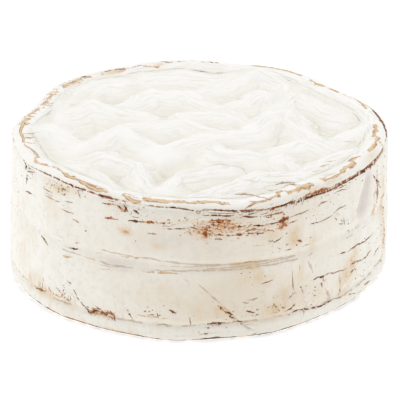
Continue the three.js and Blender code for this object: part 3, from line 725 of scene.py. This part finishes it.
def place_on_crest(crest, number):
    """The height that one fold gives each vertex, and the vertex's place on the fold."""
    highest = np.full(len(inset), -FAR_AWAY)
    place = np.zeros((len(inset), 3))
    run = 0
    for start, end in zip(crest, crest[1:]):
        along, away_x, away_y = off_crest(start, end, crumpled_x, crumpled_y)
        height = fold_height(start, end, crumpled_x, crumpled_y)
        length = math.dist(start[:2], end[:2])
        own = np.stack([np.hypot(away_x, away_y), run + along * length, 0 * along + number], axis=1)
        higher = height > highest
        highest[higher] = height[higher]
        place[higher] = own[higher]
        run += length
    return highest, place


def place_on_folds():
    """Each vertex's place on the highest fold: distance from the crest line, distance along it
    and the fold's number. Then how far that fold stands above the next highest."""
    highest = rim_height(inset)
    second = np.full(len(inset), -FAR_AWAY)
    place = np.stack([inset, np.radians(skin.angle) * RADIUS, np.full(len(inset), -1.0)], axis=1)
    for number, crest in enumerate(FOLDS):
        height, own_place = place_on_crest(crest, number)
        higher = height > highest
        second = np.where(higher, highest, np.maximum(second, height))
        highest = np.where(higher, height, highest)
        place[higher] = own_place[higher]
    return place, highest - second


def stands_out(reach, samples=12):
    """How far each vertex of the top stands above the mean of the top within a reach."""
    here = np.hypot(crumpled_x, crumpled_y)
    around = 0
    for number in range(samples):
        distance = reach * math.sqrt((number + 0.5) / samples)
        x = crumpled_x + distance * math.cos(number * GOLDEN_TURN)
        y = crumpled_y + distance * math.sin(number * GOLDEN_TURN)
        around = around + top_height(x, y, inset + here - np.hypot(x, y)) / samples
    return on_top * (crumpled_height - around)


def crease_rounding():
    """How far the crease inside the rim is raised, and its edges lowered, to make it softer."""
    near = hump(inset - CREASE_INSET, CREASE_SPREAD)
    rounding = CREASE_ROUNDING * near * stands_out(ROUNDING_REACH, 24)
    sunk = HEIGHT - FAR_DIP - crumpled_height + rounding
    filling = np.logaddexp(0, FAR_DIP_SHARPNESS * sunk) / FAR_DIP_SHARPNESS
    far = smoothstep(plain[:, 1], 45, 70) * hump(inset - RIM_WIDTH, FAR_DIP_SPREAD)
    return far * filling - rounding


def relief():
    """How far the fine relief lifts each vertex, in millimetres."""
    side_lumps = 0.28 * lumps(plain, (13, 13, 22), 31, 2) + 0.1 * lumps(plain, 3.4, 33)
    crust = 0.3 * patches["haze"] * lumps(plain, (4, 4, 2.4), 35, 2)
    streaks = 0.08 * lumps(plain, (4, 4, 40), 36)
    crumple = crumpled_height - top_height(*plain[:, :2].T, inset)
    grain = grain_share * gradient_noise(on_fold / (2.2, 16, 0.18), 22)
    top_lumps = crumple + 0.25 * lumps(plain, 11, 34, 2) + 0.2 * grain
    cuts = sum(depth * families[name].cover() for name, depth in CUTS.items())
    lift = on_side * (side_lumps + streaks + crust) + on_top * top_lumps + crease_rounding() - cuts
    return lift * smoothstep(skin.up, SKIN_FOOT + 0.3, SKIN_FOOT + 4)


def fit_to_box(points, low, high):
    """Points in metres moved and scaled into the box of the CAD solid."""
    own_low, own_high = points.min(axis=0), points.max(axis=0)
    low, high = np.array(low), np.array(high)
    return low + (points - own_low) * (high - low) / (own_high - own_low)


def vertex_fields():
    """What the rind's material reads at each vertex."""
    fields = {
        # where the top's hollows get painted shade
        "hollow": smoothstep(-stands_out(HOLLOW_REACH), 0.1, 1.2) * (1 - far_rim),
        # where the top's crests get painted light, whiter than the shaded low parts
        "crest": smoothstep(stands_out(CREST_REACH), -1.8, 1.2),
        "fold_out": on_fold[:, 0], "fold_along": on_fold[:, 1], "fold_number": on_fold[:, 2],
        "grain_share": grain_share,
        "side": on_side,
        "foot": 1 - smoothstep(skin.up, 2, 6),
        "foot_band": 1 - smoothstep(skin.up, 7, 10),
        # where the side is painted darker as shade
        "side_shade": on_side * round_sum(SIDE_SHADE, skin.angle),
    }
    for name, marks in families.items():
        fields[name + "_offset"] = marks.offset
        fields[name + "_shows"] = marks.shows
    return fields | patches


def build_wheel():
    """The wheel's mesh object, with a float attribute for each field."""
    points = (plain + skin.normals() * relief()[:, None]) / 1000
    points = fit_to_box(points, *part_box("cheese_wheel"))
    mesh = bpy.data.meshes.new("cheese_rind")
    mesh.from_pydata(points.tolist(), [], skin.faces)
    mesh.polygons.foreach_set("use_smooth", [True] * len(mesh.polygons))
    for name, values in vertex_fields().items():
        attribute = mesh.attributes.new(name, "FLOAT", "POINT")
        attribute.data.foreach_set("value", values.astype(np.float32))
    wheel = bpy.data.objects.new("cheese_rind", mesh)
    bpy.context.scene.collection.objects.link(wheel)
    return wheel


def in_linear_light(colour):
    """A colour given as it looks on a screen, from 0 to 255. A node's colour stays as it is."""
    if isinstance(colour, bpy.types.NodeSocket):
        return colour
    shown = mathutils.Color([value / 255 for value in colour])
    return (*shown.from_srgb_to_scene_linear(), 1)


class Shader:
    """Short ways to add nodes to a new material. Sizes are in millimetres."""

    def __init__(self, name):
        self.material = bpy.data.materials.new(name)
        self.material.use_nodes = True
        self.tree = self.material.node_tree
        self.place = self.add("TexCoord", {}).outputs["Object"]

    def feed(self, socket, value):
        if isinstance(value, bpy.types.NodeSocket):
            self.tree.links.new(value, socket)
        else:
            socket.default_value = value

    def add(self, kind, inputs, **settings):
        """A new node with its settings made and its inputs fed."""
        node = self.tree.nodes.new("ShaderNode" + kind)
        for name, value in settings.items():
            setattr(node, name, value)
        for name, value in inputs.items():
            self.feed(node.inputs[name], value)
        return node

    def field(self, name):
        return self.add("Attribute", {}, attribute_name=name).outputs["Fac"]

    def math(self, operation, *values):
        return self.add("Math", dict(enumerate(values)), operation=operation).outputs[0]

    def total(self, *values):
        return functools.reduce(lambda a, b: self.math("ADD", a, b), values)

    def product(self, *values):
        return functools.reduce(lambda a, b: self.math("MULTIPLY", a, b), values)

    def highest(self, *values):
        return functools.reduce(lambda a, b: self.math("MAXIMUM", a, b), values)

    def ramp(self, value, low, high, start=0.0, end=1.0):
        """Smoothly from start, where value is low, to end, where it is high."""
        inputs = {"Value": value, "From Min": low, "From Max": high, "To Min": start, "To Max": end}
        return self.add("MapRange", inputs, interpolation_type="SMOOTHSTEP").outputs["Result"]

    def stretched(self, stretch):
        inputs = {0: self.place, 1: [1 / s for s in stretch]}
        return self.add("VectorMath", inputs, operation="MULTIPLY").outputs["Vector"]

    def noise(self, size, detail=2.0, stretch=(1, 1, 1), distortion=0.0):
        inputs = {"Vector": self.stretched(stretch), "Scale": 1000 / size, "Detail": detail}
        return self.add("TexNoise", inputs | {"Distortion": distortion}).outputs["Fac"]

    def fold_grain(self, width, length):
        """Noise drawn out along the folds, with lines of a width and length in millimetres."""
        waver = self.math("MULTIPLY_ADD", self.noise(7), 3.0, -1.5)
        inputs = {
            "X": self.math("DIVIDE", self.total(self.field("fold_out"), waver), width),
            "Y": self.math("DIVIDE", self.field("fold_along"), length),
            "Z": self.product(self.field("fold_number"), 5.5),
        }
        place = self.add("CombineXYZ", inputs).outputs["Vector"]
        return self.add("TexNoise", {"Vector": place, "Scale": 1}).outputs["Fac"]

    def mix(self, share, first, second):
        """From the first colour to the second by a share from 0 to 1."""
        inputs = {"Factor": share, "A": in_linear_light(first), "B": in_linear_light(second)}
        return self.add("Mix", inputs, data_type="RGBA").outputs["Result"]

    def line(self, name, gaps, edge, outer, inner, rough):
        """The cover of one family of marks: whole up to the inner offset, none past the outer."""
        offset = self.math("ABSOLUTE", self.field(name + "_offset"))
        ragged = self.math("MULTIPLY_ADD", edge, rough, -rough / 2)
        inside = self.ramp(self.total(offset, ragged), outer, inner)
        shows = self.math("SUBTRACT", self.field(name + "_shows"), gaps)
        return self.product(inside, self.ramp(shows, -0.06, 0.15))

    def dots(self, share, size, reach, stretch=(1, 1, 1)):
        """Scattered dots, one in a share of the cells, with a radius in cells."""
        cells = self.add("TexVoronoi", {"Vector": self.stretched(stretch), "Scale": 1000 / size})
        chance = self.add("SeparateColor", {"Color": cells.outputs["Color"]}).outputs["Red"]
        spot = self.ramp(cells.outputs["Distance"], reach, reach * 0.55)
        return self.product(self.math("LESS_THAN", chance, share), spot)

    def finish(self, inputs):
        """Feeds the surface's inputs and returns the material."""
        surface = self.tree.nodes["Principled BSDF"]
        for name, value in inputs.items():
            self.feed(surface.inputs[name], value)
        return self.material


class RindShader(Shader):
    """The rind's shader: the noise that its layers share, and its colour, painted in layers."""

    def __init__(self):
        super().__init__("rind")
        self.fine = self.noise(1.2)
        self.crumbs = self.noise(2.2)
        self.small = self.noise(3.2, 3)
        self.middle = self.noise(9, 3)
        self.strings = self.noise(5, 3, (1, 1, 0.32))
        self.streaks = self.noise(4, 3, (1, 1, 4), 0.6)
        self.spikes = self.noise(1.5, 2, (1, 1, 1.8))
        self.grain = self.fold_grain(1.6, 14)
        self.grain_share = self.field("grain_share")
        self.side = self.field("side")
        # painted light and shade: the top is a shaded cream where low and a lit white on its crests
        self.colour = self.mix(self.field("crest"), (244, 241, 233), (252, 251, 248))

    def paint(self, share, colour):
        """Lays a colour over the colours so far, by a share from 0 to 1."""
        self.colour = self.mix(share, self.colour, colour)


def paint_top(s):
    """Painted shade: cream in the grain's troughs and in the hollows between the white crests."""
    # painted shade: the grain's low lines, where its bump lies low, are darkened to cream
    s.paint(s.product(s.ramp(s.grain, 0.55, 0.3), s.grain_share, 0.45), (232, 227, 214))
    # painted shade: the hollows of the top, found from its relief, are painted a greyer cream
    hollow = s.product(s.field("hollow"), s.ramp(s.middle, 0.35, 0.7, 0.6, 0.2))
    s.paint(hollow, (226, 220, 202))


def paint_side(s):
    """The side: beige painted shade, mottled mould, mauve and painted shade in the dent, stains."""
    s.paint(s.side, (249, 248, 242))
    # painted shade: the side is darkened to beige towards its front and back middles
    shaded_beige = s.product(s.field("side_shade"), s.ramp(s.noise(34, 3), 0.3, 0.75, 0.5, 1.0))
    s.paint(shaded_beige, (233, 223, 206))
    s.paint(s.product(s.field("foot_band"), 0.65), (244, 242, 234))
    s.paint(s.product(s.side, s.ramp(s.streaks, 0.5, 0.75), 0.25), (232, 218, 196))
    s.paint(s.product(s.side, s.ramp(s.middle, 0.5, 0.75), 0.25), (236, 222, 200))
    s.paint(s.product(s.side, s.ramp(s.small, 0.5, 0.7), 0.28), (224, 214, 200))
    # mauve tint, and painted shade on the dent's left wall
    s.paint(s.product(s.field("mauve"), 0.85), (218, 209, 204))
    stained = s.ramp(s.total(s.middle, s.product(s.streaks, 0.6)), 0.5, 0.95)
    s.paint(s.product(s.field("stain"), stained, 0.85), (222, 190, 140))


def paint_haze(s):
    """Rusty haze in level strings, with short brown dashes."""
    haze = s.field("haze")
    hazed = s.ramp(s.total(s.strings, s.product(haze, 0.35)), 0.42, 0.85)
    s.paint(s.product(haze, hazed, 0.8), (224, 172, 120))
    dashes = s.noise(2.4, 3, (1, 1, 0.34))
    dashed = s.ramp(s.total(dashes, s.product(haze, 0.06)), 0.63, 0.69)
    dash_colour = s.mix(s.ramp(s.fine, 0.4, 0.6), (128, 72, 42), (204, 138, 84))
    s.paint(s.product(dashed, s.ramp(haze, 0.1, 0.4), 0.75), dash_colour)


def paint_brown(s):
    """Brown lines: strong at the foot, and pale in the grooves and scratches."""
    foot = s.field("foot")
    brown = s.line("brown", s.ramp(s.middle, 0.3, 0.7), s.small, 1.1, 0.2, 3.0)
    foot_colour = s.mix(s.ramp(s.middle, 0.48, 0.62), (84, 58, 40), (172, 116, 68))
    brown_colour = s.mix(foot, (176, 144, 108), foot_colour)
    s.paint(s.product(brown, s.ramp(foot, 0, 1, 0.5, 1.0)), brown_colour)


def paint_tan(s):
    """Bare tan rind where the mould has come off the rim, with a darker edge."""
    gaps = s.ramp(s.noise(6), 0.4, 0.68, 0.0, 0.85)
    tan = s.line("tan", gaps, s.noise(4.5, 3), 1.2, 0.85, 1.3)
    edge = s.math("SUBTRACT", tan, s.line("tan", gaps, s.small, 0.8, 0.2, 1.6))
    s.paint(s.product(tan, s.ramp(s.small, 0.3, 0.65, 1.0, 0.75)), (226, 195, 152))
    s.paint(s.product(edge, s.ramp(s.strings, 0.3, 0.55), 0.9), (178, 134, 90))
    return tan


def paint_rust(s):
    """Rust-brown marks with a dark core. Returns the cover of both."""
    rust = s.line("rust", s.ramp(s.small, 0.34, 0.64), s.spikes, 1.5, 0.3, 4.0)
    s.paint(s.product(rust, 0.85), (214, 154, 96))
    core = s.line("rust", s.ramp(s.crumbs, 0.4, 0.6), s.spikes, 1.0, 0.2, 4.0)
    core_colour = s.mix(s.ramp(s.fine, 0.42, 0.58), (98, 42, 20), (188, 106, 46))
    s.paint(s.product(core, 0.9), core_colour)
    return rust, core


def paint_dark(s):
    """Dark cracks with a soft halo, dotted where their share is near 1, and pale where faint."""
    faint = s.ramp(s.field("dark_shows"), 0.96, 0.8)
    breaks = s.product(s.ramp(s.crumbs, 0.4, 0.62), s.ramp(faint, 0, 1, 1.02, 0.6))
    halo = s.line("dark", breaks, s.small, 2.2, 0.3, 2.4)
    s.paint(s.product(halo, 0.4), (210, 160, 112))
    dark = s.line("dark", breaks, s.spikes, 1.1, 0.5, 2.4)
    dark_colour = s.mix(s.ramp(s.small, 0.38, 0.64), (66, 26, 12), (150, 82, 42))
    dark_colour = s.mix(faint, dark_colour, (158, 116, 76))
    s.paint(s.product(dark, s.ramp(faint, 0, 1, 1.0, 0.7)), dark_colour)
    return dark


def paint_specks(s):
    """Small brown specks, crowded in their patches and rare on the rest of the side."""
    speckle = s.field("speckle")
    grains = s.total(s.noise(1.7, 3, (1.2, 1.2, 0.8)), s.product(speckle, 0.1))
    specks = s.highest(
        s.dots(s.product(speckle, 0.25), 1.9, 0.36, (1.3, 1.3, 0.8)),
        s.product(s.ramp(speckle, 0, 0.15), s.ramp(grains, 0.68, 0.72)),
        s.product(s.side, s.dots(0.016, 3.5, 0.12)),
    )
    speck_colour = s.mix(s.ramp(s.small, 0.42, 0.62), (84, 50, 30), (170, 118, 74))
    s.paint(s.product(specks, 0.85), speck_colour)
    return specks


def rind_material():
    """White mould over a beige rind, with tan, rust and dark cracks where the mould is broken."""
    s = RindShader()
    paint_top(s)
    paint_side(s)
    paint_haze(s)
    paint_brown(s)
    tan = paint_tan(s)
    rust, core = paint_rust(s)
    dark = paint_dark(s)
    specks = paint_specks(s)
    bare = s.highest(tan, dark, rust, specks)
    relief = s.total(
        s.product(s.fine, 0.5),
        s.product(s.small, 0.6),
        s.product(s.side, s.streaks, 0.5),
        s.product(s.math("SUBTRACT", s.grain, 0.5), s.grain_share, 1.6),
        s.product(s.highest(core, dark), -1.0),
    )
    bump = s.add("Bump", {"Height": relief, "Distance": 0.00025})
    return s.finish({
        "Base Color": s.colour,
        "Roughness": s.ramp(bare, 0, 1, 0.82, 0.6),
        "Normal": bump.outputs["Normal"],
        "Sheen Weight": 0.04,
        "Sheen Roughness": 0.6,
        "Specular IOR Level": 0.15,
    })


def floor_material():
    """A matt floor that glows a little, so that it comes out evenly white."""
    return Shader("floor").finish({
        "Base Color": (0.6, 0.6, 0.6, 1),
        "Roughness": 0.9,
        "Emission Color": (1, 1, 1, 1),
        "Emission Strength": 0.57,
    })


def build_floor():
    half = 6.0
    corners = [(-half, -half, 0), (half, -half, 0), (half, half, 0), (-half, half, 0)]
    mesh = bpy.data.meshes.new("floor")
    mesh.from_pydata(corners, [], [(0, 1, 2, 3)])
    mesh.materials.append(floor_material())
    floor = bpy.data.objects.new("floor", mesh)
    bpy.context.scene.collection.objects.link(floor)


def aim(thing, target):
    """Turns an object so that its own -Z points at the target."""
    direction = mathutils.Vector(target) - thing.location
    thing.rotation_euler = direction.to_track_quat("-Z", "Y").to_euler()


def add_light(name, place, size, power):
    """A square soft light that faces the middle of the wheel."""
    light = bpy.data.lights.new(name, "AREA")
    light.size = size
    light.energy = power
    lamp = bpy.data.objects.new(name, light)
    lamp.location = place
    aim(lamp, LIGHTS_TARGET)
    bpy.context.scene.collection.objects.link(lamp)


def build_light():
    world = bpy.data.worlds.new("studio")
    world.use_nodes = True
    background = world.node_tree.nodes["Background"]
    background.inputs["Color"].default_value = (1, 1, 1, 1)
    background.inputs["Strength"].default_value = WORLD_STRENGTH
    bpy.context.scene.world = world
    for light in LIGHTS:
        add_light(*light)


def build_camera():
    camera = bpy.data.objects.new("camera", bpy.data.cameras.new("camera"))
    camera.data.sensor_width = 36
    camera.data.lens = VIEW_LENS
    camera.data.clip_end = 50
    tilt = math.radians(VIEW_ANGLE)
    away = mathutils.Vector((0, -math.cos(tilt), math.sin(tilt)))
    camera.location = mathutils.Vector(VIEW_TARGET) + VIEW_DISTANCE * away
    aim(camera, VIEW_TARGET)
    bpy.context.scene.collection.objects.link(camera)
    bpy.context.scene.camera = camera


# The wheel's vertices before the fine relief, and what is known at each of them
skin = Skin()
plain = skin.points
inset = RADIUS - skin.radius
on_side = 1 - smoothstep(skin.up, SIDE_TOP - 2, SKIN_CROWN)
on_top = smoothstep(skin.up, SKIN_CROWN - 2, SKIN_CROWN + 4)
far_rim = smoothstep(plain[:, 1], -30, 20) * (1 - smoothstep(inset, 14, 24))
crumpled_x = plain[:, 0] + CRUMPLE * lumps(plain, 9, 21, 2)
crumpled_y = plain[:, 1] + CRUMPLE * lumps(plain, 9, 24, 2)
crumpled_height = top_height(crumpled_x, crumpled_y, inset)
on_fold, lead = place_on_folds()
grain_share = on_top * smoothstep(lead, 0, 1) * lerp(1, 1.5, smoothstep(-plain[:, 1], 20, 60))

wobble = 0.3 * lumps(plain, 6, 11) + 0.25 * lumps(plain, 2.6, 12)
wobbling_up = skin.up + wobble
dark_ticks = crack_ticks(298.6, 306, 54) + crack_ticks(334, 342, 55)
family_lines = {
    "dark": ([RIM_CRACK], DARK_MARKS + dark_ticks + stray_marks(16, 8, 70, 51)),
    "rust": ([RIM_RUST], RUST_MARKS + stray_marks(16, 55, 72, 52)),
    "tan": ([TAN_LINE], TAN_MARKS + edge_ticks(53)),
    "brown": ([FOOT_LINE, FOOT_CREASE, BAND_TOP, BAND_FOOT], BROWN_MARKS),
}
families = {name: Marks(skin.angle, wobbling_up, *lines) for name, lines in family_lines.items()}
patch_tables = {"haze": RUST_HAZE, "stain": STAINS, "speckle": SPECKLES, "mauve": MAUVE_PATCHES}
patches = {name: patch_field(table) for name, table in patch_tables.items()}

wheel = build_wheel()
wheel.data.materials.append(rind_material())
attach(wheel, "root")
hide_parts("cheese_wheel")
build_floor()
build_light()
build_camera()
bpy.context.scene.view_settings.view_transform = "Standard"
